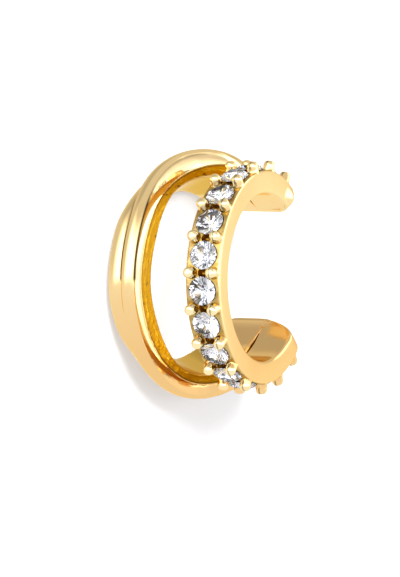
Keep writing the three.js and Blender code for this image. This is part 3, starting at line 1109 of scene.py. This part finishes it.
class Graph:
    """A node tree with short ways to add nodes and join them."""

    def __init__(self, tree: bpy.types.NodeTree) -> None:
        """Takes the tree to work on."""
        self.tree = tree

    def add(
        self, kind: str, inputs: dict[str | int, object] | None = None, **settings: object
    ) -> bpy.types.Node:
        """Adds a node.

        Args:
            kind: The node's type, without its "ShaderNode".
            inputs: Values for its sockets, or sockets of other nodes to join to them.
            settings: Its other properties.

        Returns:
            The new node.
        """
        node = self.tree.nodes.new("ShaderNode" + kind)
        for name, value in settings.items():
            setattr(node, name, value)
        for name, value in (inputs or {}).items():
            if isinstance(value, Socket):
                self.tree.links.new(value, node.inputs[name])
            else:
                node.inputs[name].default_value = value
        return node

    def attribute(self, name: str, output: str = "Fac") -> Socket:
        """Reads what is stored on the mesh's points."""
        return self.add("Attribute", attribute_name=name).outputs[output]

    def noise(self, place: Socket, texture: Texture) -> Socket:
        """Adds a noise texture and gives its value."""
        inputs = {"Vector": place, "Scale": texture.scale, "Detail": texture.detail}
        return self.add("TexNoise", inputs).outputs["Fac"]

    def fade(self, value: Socket, fade: Fade, low: float = 0.0, high: float = 1.0) -> Socket:
        """Maps a value smoothly from one range to another, without going past it.

        Args:
            value: The value.
            fade: Where it starts to count and where it counts in full.
            low: What comes out at the start.
            high: What comes out in full.

        Returns:
            The mapped value.
        """
        node = self.add(
            "MapRange",
            {"Value": value, "From Min": fade.start, "From Max": fade.full, "To Min": low, "To Max": high},
            interpolation_type="SMOOTHSTEP",
        )
        return node.outputs["Result"]

    def mix_colour(self, share: float | Socket, one: Colour | Socket, other: Colour | Socket) -> Socket:
        """Mixes two colours.

        Args:
            share: How much of the second there is.
            one: The first colour.
            other: The second colour.

        Returns:
            The mixed colour.
        """
        colours = [value if isinstance(value, Socket) else (*value, 1) for value in (one, other)]
        return self.add("Mix", {0: share, 6: colours[0], 7: colours[1]}, data_type="RGBA").outputs[2]

    def vector(
        self, operation: str, one: Socket, other: Direction | Socket = (0, 0, 0), result: str = "Vector"
    ) -> Socket:
        """Adds a vector maths node."""
        return self.add("VectorMath", {0: one, 1: other}, operation=operation).outputs[result]

    def maths(self, operation: str, one: object, other: object) -> Socket:
        """Adds a maths node on two values."""
        return self.add("Math", {0: one, 1: other}, operation=operation).outputs[0]

    def product(self, first: Socket, *others: Socket) -> Socket:
        """Multiplies several masks."""
        return functools.reduce(lambda one, other: self.maths("MULTIPLY", one, other), others, first)

    def mottled(self, place: Socket, scale: float, one: Colour, other: Colour) -> Socket:
        """Places the mottle group: two tones in fine clouds, at a scale in waves to a metre."""
        inputs = {"Place": place, "Scale": scale, "Tone": (*one, 1), "Other Tone": (*other, 1)}
        return self.add("Group", inputs, node_tree=mottle_group()).outputs["Colour"]


@functools.cache
def mottle_group() -> bpy.types.NodeTree:
    """Builds the node group of the mottling that the crystals' glass and the paper share, once.

    Returns:
        The group, with the inputs Place, Scale, Tone and Other Tone and the output Colour.
    """
    tree = bpy.data.node_groups.new("mottle", "ShaderNodeTree")
    sockets = {"Place": "Vector", "Scale": "Float", "Tone": "Color", "Other Tone": "Color"}
    for name, kind in sockets.items():
        tree.interface.new_socket(name, in_out="INPUT", socket_type="NodeSocket" + kind)
    tree.interface.new_socket("Colour", in_out="OUTPUT", socket_type="NodeSocketColor")
    given = tree.nodes.new("NodeGroupInput").outputs
    graph = Graph(tree)
    clouds = graph.noise(given["Place"], Texture(given["Scale"]))
    colour = graph.mix_colour(clouds, given["Tone"], given["Other Tone"])
    tree.links.new(colour, tree.nodes.new("NodeGroupOutput").inputs["Colour"])
    return tree


def surface(name: str) -> tuple[bpy.types.Material, Graph, bpy.types.Node]:
    """Makes an empty node material.

    Args:
        name: The material's name.

    Returns:
        The material, its graph and its Principled BSDF.
    """
    material = bpy.data.materials.new(name)
    material.use_nodes = True
    graph = Graph(material.node_tree)
    material.node_tree.nodes.clear()
    shader = graph.add("BsdfPrincipled")
    graph.add("OutputMaterial", {"Surface": shader.outputs["BSDF"]})
    return material, graph, shader


# ---------------------------------------------------------------- finishes


@dataclass(frozen=True)
class GoldPlate:
    """Polished gold plate that is left rough, as cast, on the near wall of the polished band.

    The masks that say where each tone goes are stored on the body's points. Streaks, pits and grain
    follow the millimetres of the way round the ring, with the streaks drawn out along it, and the
    other textures the metres of the cuff. The metal is painted warmer towards its lower end, for the
    warmer light there. Many tones are painted light: shade in the creases, hollows, pits, lip and
    tapered bore and on the face between the crystals, highlights on the shoulder, the prongs' tips and
    the rough wall's streaks, and a dark reflection on the prongs. The rough wall's deep amber is
    painted shade and gold-on-gold reflection on its rough, as-cast finish.
    """

    polished: Colour = (0.95, 0.735, 0.37)
    # warm is reached both by random clouds of tone and by the warmth painted towards the lower end for the
    # warmer light there.
    warm: Colour = (0.88, 0.58, 0.24)
    # A paler gold painted on the shoulder as a highlight.
    shoulder_highlight: Colour = (0.97, 0.76, 0.42)
    # set_face and set_dark: the face between the crystals painted darker as shade, mottled between the two.
    set_face: Colour = (0.6, 0.45, 0.17)
    set_dark: Colour = (0.44, 0.29, 0.07)
    # Painted shade in the hollows between the crystals.
    hollow: Colour = (0.2, 0.1, 0.012)
    # A paler gold painted on the prongs' tips as a highlight.
    tip: Colour = (1.0, 0.86, 0.5)
    # A darker amber painted on the tapered bore as shade.
    bore_shade: Colour = (0.74, 0.48, 0.1)
    edge: Colour = (1.0, 0.88, 0.6)
    # The rough wall's deep amber: painted shade and gold-on-gold reflection on a rough, as-cast finish.
    cast: Colour = (0.52, 0.25, 0.002)
    # Painted highlights along the rough wall's streaks.
    cast_highlight: Colour = (0.8, 0.52, 0.04)
    # Painted shade in the rough wall's pits and along its lip.
    pit_shade: Colour = (0.16, 0.07, 0.005)
    # Dark lines painted as shade in the creases and as a reflection on the prongs.
    crease: Colour = (0.012, 0.007, 0.002)
    roughness: float = 0.09
    cast_roughness: float = 0.3
    face_roughened: float = 0.8
    smudged: float = 1.6
    cloud: Texture = Texture(260.0)
    clouds: Fade = Fade(0.35, 0.65)
    cloud_warmth: float = 0.25
    # Warmth painted towards the lower end, for the warmer light there.
    painted_warm_light: Fade = Fade(-0.002, 0.0055)
    painted_warm_share: float = 0.9
    worn: Texture = Texture(2600.0, 4.0)
    wear: Fade = Fade(0.4, 0.62)
    smudge: Texture = Texture(2200.0, 6.0)
    smudges: Fade = Fade(0.3, 0.8)
    drawn: Direction = (1.0, 9.0, 1.1)
    streak: Texture = Texture(1.0, 4.0)
    streaks: Fade = Fade(0.52, 0.75)
    pitting: Texture = Texture(3.4, 5.0)
    pits: Fade = Fade(0.61, 0.7)
    grain: Texture = Texture(9.0, 4.0)
    ripple: Texture = Texture(420.0, 1.0)
    ripple_share: float = 0.2
    bump: float = 0.4
    bump_height: float = 0.00006

    def build(self) -> bpy.types.Material:
        """Makes the material.

        Returns:
            The material.
        """
        material, graph, shader = surface("gold plate")
        place = graph.add("TexCoord").outputs["Object"]
        around = graph.attribute("around", "Vector")
        masks = {mask: graph.attribute(mask.value) for mask in Mask}
        worn = graph.noise(place, self.worn)
        streak = graph.noise(graph.vector("MULTIPLY", around, self.drawn), self.streak)
        tone = self.polished_tone(graph, place, worn, masks)
        rough_tone = self.cast_tone(graph, around, streak, masks[Mask.LIP_SHADE])
        colour = graph.mix_colour(masks[Mask.CAST], tone, rough_tone)
        # Dark lines painted as shade in the creases and as a reflection on the prongs.
        colour = graph.mix_colour(masks[Mask.CREASE], colour, self.crease)
        graph.tree.links.new(colour, shader.inputs["Base Color"])
        graph.tree.links.new(self.dullness(graph, place, masks), shader.inputs["Roughness"])
        grain = graph.maths("ADD", streak, graph.noise(around, self.grain))
        graph.tree.links.new(self.relief(graph, place, grain, worn, masks), shader.inputs["Normal"])
        shader.inputs["Metallic"].default_value = 1.0
        shader.inputs["Specular Tint"].default_value = (*self.edge, 1.0)
        return material

    def polished_tone(self, graph: Graph, place: Socket, worn: Socket, masks: dict[Mask, Socket]) -> Socket:
        """The tone of the polished metal, painted warmer towards the lower end for the warmer light there,
        with its painted shade and highlights.

        Args:
            graph: The material's graph.
            place: The place on the body.
            worn: The noise of the worn face between the crystals.
            masks: The masks stored on the body.

        Returns:
            The colour.
        """
        cloud = graph.fade(graph.noise(place, self.cloud), self.clouds, 0.0, self.cloud_warmth)
        along = graph.add("SeparateXYZ", {0: place}).outputs["X"]
        # Warmth painted towards the lower end, for the warmer light there.
        painted_warm_light = graph.fade(along, self.painted_warm_light, 0.0, self.painted_warm_share)
        tone = graph.mix_colour(graph.maths("ADD", cloud, painted_warm_light), self.polished, self.warm)
        # The shoulder's painted highlight.
        tone = graph.mix_colour(masks[Mask.SHOULDER_HIGHLIGHT], tone, self.shoulder_highlight)
        # The face between the crystals, painted darker as shade.
        face = graph.mix_colour(graph.fade(worn, self.wear), self.set_face, self.set_dark)
        tone = graph.mix_colour(masks[Mask.SET_FACE], tone, face)
        # Painted shade in the hollows and on the tapered bore, and a painted highlight on the prongs' tips.
        for mask, colour in ((Mask.HOLLOW_SHADE, self.hollow), (Mask.TIP, self.tip), (Mask.TAPER, self.bore_shade)):
            tone = graph.mix_colour(masks[mask], tone, colour)
        return tone

    def cast_tone(self, graph: Graph, around: Socket, streak: Socket, lip: Socket) -> Socket:
        """The tone of the rough wall: a deep amber of painted shade with streaks of painted highlight, and
        pits that gather along its lip, which are painted dark as shade.

        Args:
            graph: The material's graph.
            around: The way round the ring.
            streak: The noise of the streaks.
            lip: The mask of the lip.

        Returns:
            The colour.
        """
        # A deep amber of painted shade, with streaks of painted highlight.
        tone = graph.mix_colour(graph.fade(streak, self.streaks), self.cast, self.cast_highlight)
        # Pits and the lip are painted dark, as shade.
        pits = graph.fade(graph.noise(around, self.pitting), self.pits)
        return graph.mix_colour(graph.maths("MAXIMUM", pits, lip), tone, self.pit_shade)

    def dullness(self, graph: Graph, place: Socket, masks: dict[Mask, Socket]) -> Socket:
        """How rough the metal is: faintly smudged, and rougher where it isn't polished.

        Args:
            graph: The material's graph.
            place: The place on the body.
            masks: The masks stored on the body.

        Returns:
            The roughness.
        """
        smudge = graph.noise(place, self.smudge)
        smudge = graph.fade(smudge, self.smudges, self.roughness, self.roughness * self.smudged)
        face = graph.maths("MULTIPLY", masks[Mask.SET_FACE], self.face_roughened)
        unpolished = graph.maths("MAXIMUM", masks[Mask.CAST], face)
        return graph.add("Mix", {0: unpolished, 2: smudge, 3: self.cast_roughness}).outputs[0]

    def relief(
        self, graph: Graph, place: Socket, grain: Socket, worn: Socket, masks: dict[Mask, Socket]
    ) -> Socket:
        """The fine relief: grain on the rough wall, wear between the crystals, and a ripple over all.

        Args:
            graph: The material's graph.
            place: The place on the body.
            grain: The noise of the rough wall.
            worn: The noise of the worn face between the crystals.
            masks: The masks stored on the body.

        Returns:
            The normal.
        """
        rough = graph.maths("MULTIPLY", grain, masks[Mask.CAST])
        height = graph.maths("ADD", rough, graph.maths("MULTIPLY", worn, masks[Mask.SET_FACE]))
        ripple = graph.maths("MULTIPLY", graph.noise(place, self.ripple), self.ripple_share)
        height = graph.maths("ADD", height, ripple)
        bump = graph.add("Bump", {"Height": height, "Strength": self.bump, "Distance": self.bump_height})
        return bump.outputs["Normal"]


@dataclass(frozen=True)
class ClearCrystal:
    """Clear cut crystal."""

    tint: Colour = (0.95, 0.97, 1.0)
    cool_tint: Colour = (0.9, 0.94, 1.0)
    scale: float = 800.0
    index: float = 1.75

    def build(self) -> bpy.types.Material:
        """Makes the material.

        Returns:
            The material.
        """
        material, graph, shader = surface("clear crystal")
        place = graph.add("TexCoord").outputs["Object"]
        tint = graph.mottled(place, self.scale, self.tint, self.cool_tint)
        graph.tree.links.new(tint, shader.inputs["Base Color"])
        shader.inputs["Roughness"].default_value = 0.0
        shader.inputs["IOR"].default_value = self.index
        shader.inputs["Transmission Weight"].default_value = 1.0
        return material


@dataclass(frozen=True)
class CrystalFoil:
    """The foil on a crystal's underside: each facet is bright, grey or dark, crossed by dark slivers.

    The grey and dark facets and the dark slivers are painted reflections. The slivers run outwards from the
    crystal's middle. coarse is the step to which a facet's normal is rounded, so that its tone doesn't hang
    on the last digits. Lengths are in crystal radii.
    """

    bright: Colour = (0.97, 0.975, 0.99)
    # grey and dark are painted reflections, given to some facets and to the slivers.
    grey: Colour = (0.5, 0.51, 0.54)
    dark: Colour = (0.02, 0.02, 0.025)
    roughness: float = 0.11
    coarse: float = 0.037
    greyed: Fade = Fade(0.78, 0.86)
    darkened: Fade = Fade(0.88, 0.9)
    slivers: float = 6.0
    sliver: Fade = Fade(0.82, 0.86)
    past_middle: Fade = Fade(0.3, 0.45)
    spoke: Texture = Texture(1.0, 1.0)
    patch: Texture = Texture(1.1, 1.0)
    patch_share: float = 0.5

    def build(self) -> bpy.types.Material:
        """Makes the material.

        Returns:
            The material.
        """
        material, graph, shader = surface("crystal foil")
        facing = graph.add("NewGeometry").outputs["True Normal"]
        facet = graph.vector("SNAP", facing, (self.coarse,) * 3)
        value = graph.add("TexWhiteNoise", {"Vector": facet}, noise_dimensions="3D").outputs["Color"]
        shares = graph.add("SeparateColor", {0: value}).outputs
        # Some facets are painted grey or dark, as reflections.
        tint = graph.mix_colour(graph.fade(shares[0], self.greyed), self.bright, self.grey)
        tint = graph.mix_colour(graph.fade(shares[1], self.darkened), tint, self.dark)
        # Dark slivers painted as reflections.
        tint = graph.mix_colour(self.sliver_mask(graph), tint, self.dark)
        graph.tree.links.new(tint, shader.inputs["Base Color"])
        shader.inputs["Metallic"].default_value = 1.0
        shader.inputs["Roughness"].default_value = self.roughness
        return material

    def sliver_mask(self, graph: Graph) -> Socket:
        """The dark slivers, painted as reflections, from a noise that changes fast round the crystal and
        slowly outwards.

        Args:
            graph: The material's graph.

        Returns:
            The mask.
        """
        own = graph.attribute("own", "Vector")
        flat = graph.vector("MULTIPLY", own, (1.0, 1.0, 0.0))
        reach = graph.vector("LENGTH", flat, result="Value")
        spoke = graph.vector("MULTIPLY", graph.vector("NORMALIZE", flat), (self.slivers,) * 3)
        spoke = graph.noise(graph.vector("ADD", spoke, own), self.spoke)
        patch = graph.maths("MULTIPLY", graph.noise(own, self.patch), self.patch_share)
        sliver = graph.fade(graph.maths("ADD", spoke, patch), self.sliver)
        return graph.product(sliver, graph.fade(reach, self.past_middle))


@dataclass(frozen=True)
class StudioPaper:
    """The pale matt paper that the cuff lies on."""

    colour: Colour = (0.34, 0.34, 0.343)
    fibre: float = 0.98
    scale: float = 900.0
    roughness: float = 0.9
    shine: float = 0.1

    def build(self) -> bpy.types.Material:
        """Makes the material.

        Returns:
            The material.
        """
        material, graph, shader = surface("studio paper")
        place = graph.add("TexCoord").outputs["Object"]
        colour = graph.mottled(place, self.scale, self.colour, tuple(self.fibre * c for c in self.colour))
        graph.tree.links.new(colour, shader.inputs["Base Color"])
        shader.inputs["Roughness"].default_value = self.roughness
        shader.inputs["Specular IOR Level"].default_value = self.shine
        return material


# ---------------------------------------------------------------- sub-assemblies


@dataclass
class GoldBody:
    """The cast body: both bands, the prongs and the seats, as one closed surface."""

    ring: Ring
    polished: PolishedBand
    crystal_band: CrystalBand
    smooth_angle: float = 38.0

    def build(self) -> bpy.types.Object:
        """Builds and dresses the body, and hides the CAD node that it stands for.

        Returns:
            The body's object.
        """
        body = self.crystal_band.strip().to_object("gold_body", self.ring)
        parts = (
            ("polished", self.polished.shell(), Join.UNION),
            ("prongs", self.crystal_band.prongs(), Join.UNION),
            ("seats", self.crystal_band.seats(), Join.CUT),
            ("notches", self.crystal_band.notches(), Join.CUT),
        )
        for name, shell, join in parts:
            combine(body, shell.to_object(name, self.ring), join)
            log.info("%s: %d faces after %s", body.name, len(body.data.polygons), name)
        self.mark(body.data)
        body.data.materials.clear()
        body.data.materials.append(GoldPlate().build())
        body.data.shade_smooth()
        body.data.set_sharp_from_angle(angle=math.radians(self.smooth_angle))
        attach(body, "root")
        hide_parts("gold_cuff")
        return body

    def mark(self, mesh: bpy.types.Mesh) -> None:
        """Stores on the body's points the masks of its tones, and the way round the ring.

        Args:
            mesh: The body's mesh.
        """
        axial, radius, turn = self.ring.to_ring(points_of(mesh)).T
        masks = Markings(self.polished, self.crystal_band).masks(axial, radius, turn)
        for mask, values in masks.items():
            store(mesh, mask.value, values)
        store(mesh, "around", np.stack([axial, radius, np.radians(turn) * radius], axis=1))


@dataclass
class CrystalRow:
    """The row of crystals, which keep the shape that they were cut to.

    apart is how far from one another their noises lie, in crystal radii, and foil_from how far a
    facet has to face inwards to be foiled.
    """

    names: list[str]
    ring: Ring
    radius: float
    apart: float = 5.3
    foil_from: float = 0.1

    def build(self) -> None:
        """Dresses each crystal: clear above its girdle, and foiled on the facets below it."""
        finishes = [ClearCrystal().build(), CrystalFoil().build()]
        for number, name in enumerate(self.names):
            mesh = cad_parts[name].data
            mesh.materials.clear()
            for finish in finishes:
                mesh.materials.append(finish)
            middle = Ring.middle_of(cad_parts[name])
            out = self.outwards(middle)
            from_middle = (points_of(mesh) - np.array(middle)) / (MM * self.radius)
            across = [from_middle @ np.array(axis) for axis in (self.ring.axis, self.ring.axis.cross(out))]
            apart = np.full(len(from_middle), self.apart * number)
            store(mesh, "own", np.stack([*across, apart], axis=1))
            for facet in mesh.polygons:
                facet.material_index = int(facet.normal.dot(out) < -self.foil_from)
        log.info("dressed %d crystals", len(self.names))

    def outwards(self, middle: Vector) -> Vector:
        """The direction in which a crystal's table faces."""
        arm = middle - self.ring.centre
        return (arm - self.ring.axis * arm.dot(self.ring.axis)).normalized()


@dataclass(frozen=True)
class Edge:
    """A soft edge in the tent, across a direction given by the camera's own right, up and back."""

    towards: Direction
    fade: Fade


@dataclass(frozen=True)
class Glow:
    """A bright patch of the tent: the edges that bound it, and how much it adds to the cloth."""

    edges: tuple[Edge, ...]
    strength: float


@dataclass
class Studio:
    """The paper, the lights and the camera.

    back and right are the camera's own, as directions of the upright cuff. view_height, aim_right and
    aim_up are in millimetres, and near_clip and far_clip in shares of the camera's distance.
    """

    ring: Ring
    back: Direction = (0.441, -0.889, 0.117)
    right: Direction = (0.8975, 0.4404, -0.0341)
    lens: float = 1200.0
    sensor: float = 36.0
    view_height: float = 28.1
    aim_right: float = -2.4
    aim_up: float = -0.57
    near_clip: float = 0.5
    far_clip: float = 2.0
    paper_half: float = 0.5
    window: Glow = Glow(
        (
            Edge((0.26, 0, 0.97), Fade(-0.2, 0.65)),
            Edge((0.3, 0.95, 0), Fade(0.75, 0.35)),
            Edge((0, 1, 0), Fade(-0.16, 0.0)),
        ),
        strength=2.05,
    )
    strip: Glow = Glow(
        (
            Edge((0.29, 0, 0.96), Fade(0.24, 0.08)),
            Edge((0.29, 0, 0.96), Fade(-0.3, -0.16)),
            Edge((0, 1, 0), Fade(-0.12, 0.0)),
            Edge((0, 1, 0), Fade(0.73, 0.62)),
            Edge((1, 0, 0), Fade(0.0, 0.2)),
        ),
        strength=1.6,
    )
    card: Glow = Glow((Edge((0.82, -0.06, -0.57), Fade(0.8, 0.97)),), strength=0.15)
    dusk: Edge = Edge((-0.33, 0.9, -0.29), Fade(0.82, 0.96))
    dusk_left: float = 0.72
    tent: Fade = Fade(-0.15, 0.3)
    tent_low: float = 1.02
    tent_high: float = 0.78
    cloth: Fade = Fade(-0.2, 0.2)
    low_cloth: Colour = (1.0, 0.97, 0.98)
    high_cloth: Colour = (1.0, 0.94, 0.89)
    window_light: Colour = (0.99, 0.995, 1.0)
    backdrop: float = 1.1
    wash: float = 3.95
    paper_lamp: float = 9.5
    paper_lamp_at: Direction = (-0.6, -0.42, 0.68)
    paper_lamp_angle: float = 30.0
    lamp_distance: float = 0.3

    def build(self) -> None:
        """Makes the paper, the lights and the camera."""
        self.floor()
        self.sky()
        self.lights()
        self.camera()

    def floor(self) -> None:
        """Lays the paper, which casts no shadow and isn't seen in the metal or the crystals."""
        mesh = bpy.data.meshes.new("paper")
        half = self.paper_half
        corners = [(-half, -half, 0), (half, -half, 0), (half, half, 0), (-half, half, 0)]
        mesh.from_pydata(corners, [], [(0, 1, 2, 3)])
        paper = bpy.data.objects.new("paper", mesh)
        bpy.context.scene.collection.objects.link(paper)
        mesh.materials.append(StudioPaper().build())
        paper.visible_glossy = False
        paper.visible_transmission = False
        paper.visible_shadow = False

    def towards(self, direction: Direction) -> Vector:
        """A direction in the row frame, from one given by the camera's own right, up and back."""
        return (Matrix(self.axes()).transposed() @ Vector(direction)).normalized()

    def axes(self) -> tuple[Vector, Vector, Vector]:
        """Works out the camera's own axes in the row frame.

        Returns:
            Its right, up and back.
        """
        back = self.upright_vector(self.back).normalized()
        right = self.upright_vector(self.right)
        right = (right - back * right.dot(back)).normalized()
        return right, back.cross(right), back

    def sky(self) -> None:
        """Surrounds the cuff with a white tent.

        Behind the camera is a wide bright window, to its right a strip of light, and past the cuff on
        the right a faint card. The cloth is dimmer above, with a dull patch overhead, where up is as
        the cuff is worn. Only the camera sees the even white backdrop.
        """
        world = bpy.data.worlds.new("studio")
        world.use_nodes = True
        bpy.context.scene.world = world
        graph = Graph(world.node_tree)
        direction = graph.add("TexCoord").outputs["Generated"]
        height = self.along(graph, direction, (0, 1, 0))
        dusk = self.along(graph, direction, self.dusk.towards)
        dusk = graph.fade(dusk, self.dusk.fade, 1.0, self.dusk_left)
        strength = graph.product(graph.fade(height, self.tent, self.tent_low, self.tent_high), dusk)
        masks = []
        for glow in (self.window, self.strip, self.card):
            reaches = [self.along(graph, direction, edge.towards) for edge in glow.edges]
            edges = [graph.fade(reach, edge.fade) for reach, edge in zip(reaches, glow.edges)]
            masks.append(graph.product(*edges))
            strength = graph.maths("ADD", strength, graph.maths("MULTIPLY", masks[-1], glow.strength))
        cloth = graph.mix_colour(graph.fade(height, self.cloth), self.low_cloth, self.high_cloth)
        colour = graph.mix_colour(graph.maths("MAXIMUM", *masks[:2]), cloth, self.window_light)
        seen = graph.add("LightPath").outputs["Is Camera Ray"]
        strength = graph.maths("MAXIMUM", strength, graph.maths("MULTIPLY", seen, self.backdrop))
        colour = graph.mix_colour(seen, colour, self.window_light)
        background = world.node_tree.nodes["Background"]
        graph.tree.links.new(colour, background.inputs["Color"])
        graph.tree.links.new(strength, background.inputs["Strength"])

    def along(self, graph: Graph, direction: Socket, towards: Direction) -> Socket:
        """How far a ray reaches along one of the camera's own directions."""
        return graph.vector("DOT_PRODUCT", direction, tuple(self.towards(towards)), "Value")

    def lights(self) -> None:
        """Adds the paper's lamps: an even wash without a shadow, and a soft one that casts the cuff's."""
        self.lamp("paper_wash", Vector((0, 0, 1)), self.wash, 0.0).use_shadow = False
        self.lamp("paper_lamp", Vector(self.paper_lamp_at), self.paper_lamp, self.paper_lamp_angle)

    def lamp(self, name: str, towards: Vector, strength: float, angle: float) -> bpy.types.Light:
        """Adds a lamp for the paper alone, which nothing mirrors.

        Args:
            name: Its name.
            towards: The direction in which it stands.
            strength: How much light it gives.
            angle: How wide it looks, in degrees.

        Returns:
            The lamp's data.
        """
        light = bpy.data.lights.new(name, "SUN")
        light.energy = strength
        light.angle = math.radians(angle)
        made = bpy.data.objects.new(name, light)
        made.location = towards * self.lamp_distance
        made.rotation_euler = towards.to_track_quat("Z", "Y").to_euler()
        made.visible_glossy = False
        made.visible_transmission = False
        bpy.context.scene.collection.objects.link(made)
        return light

    def upright_vector(self, direction: Direction) -> Vector:
        """Turns a direction of the upright cuff into the row frame."""
        axes = Matrix((self.ring.axis, self.ring.opening, self.ring.across)).transposed()
        return axes @ Vector(direction)

    def camera(self) -> None:
        """Sets up the camera, whose picture stands upright as the cuff is worn."""
        right, up, back = self.axes()
        aim = self.ring.centre + MM * (self.aim_right * right + self.aim_up * up)
        distance = MM * self.view_height * self.lens / self.sensor
        data = bpy.data.cameras.new("camera")
        data.lens = self.lens
        data.sensor_width = self.sensor
        data.clip_start, data.clip_end = distance * self.near_clip, distance * self.far_clip
        camera = bpy.data.objects.new("camera", data)
        turned = Matrix((right, up, back)).transposed().to_4x4()
        camera.matrix_world = Matrix.Translation(aim + back * distance) @ turned
        bpy.context.scene.collection.objects.link(camera)
        bpy.context.scene.camera = camera


def main() -> None:
    """Builds the cuff and its studio."""
    logging.basicConfig(level=logging.INFO, format="%(name)s: %(message)s")
    names = sorted(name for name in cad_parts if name.startswith("crystal_"))
    ends = Ends()
    band = CrystalBand(ends, len(names))
    ring = Ring.from_crystals(names, band.shift)
    log.info("ring centre %s, axis %s", tuple(ring.centre), tuple(ring.axis))
    GoldBody(ring, PolishedBand(ends), band).build()
    CrystalRow(names, ring, band.crystal_radius).build()
    Studio(ring).build()
    bpy.context.scene.view_settings.view_transform = "Standard"


if __name__ == "__main__":
    main()
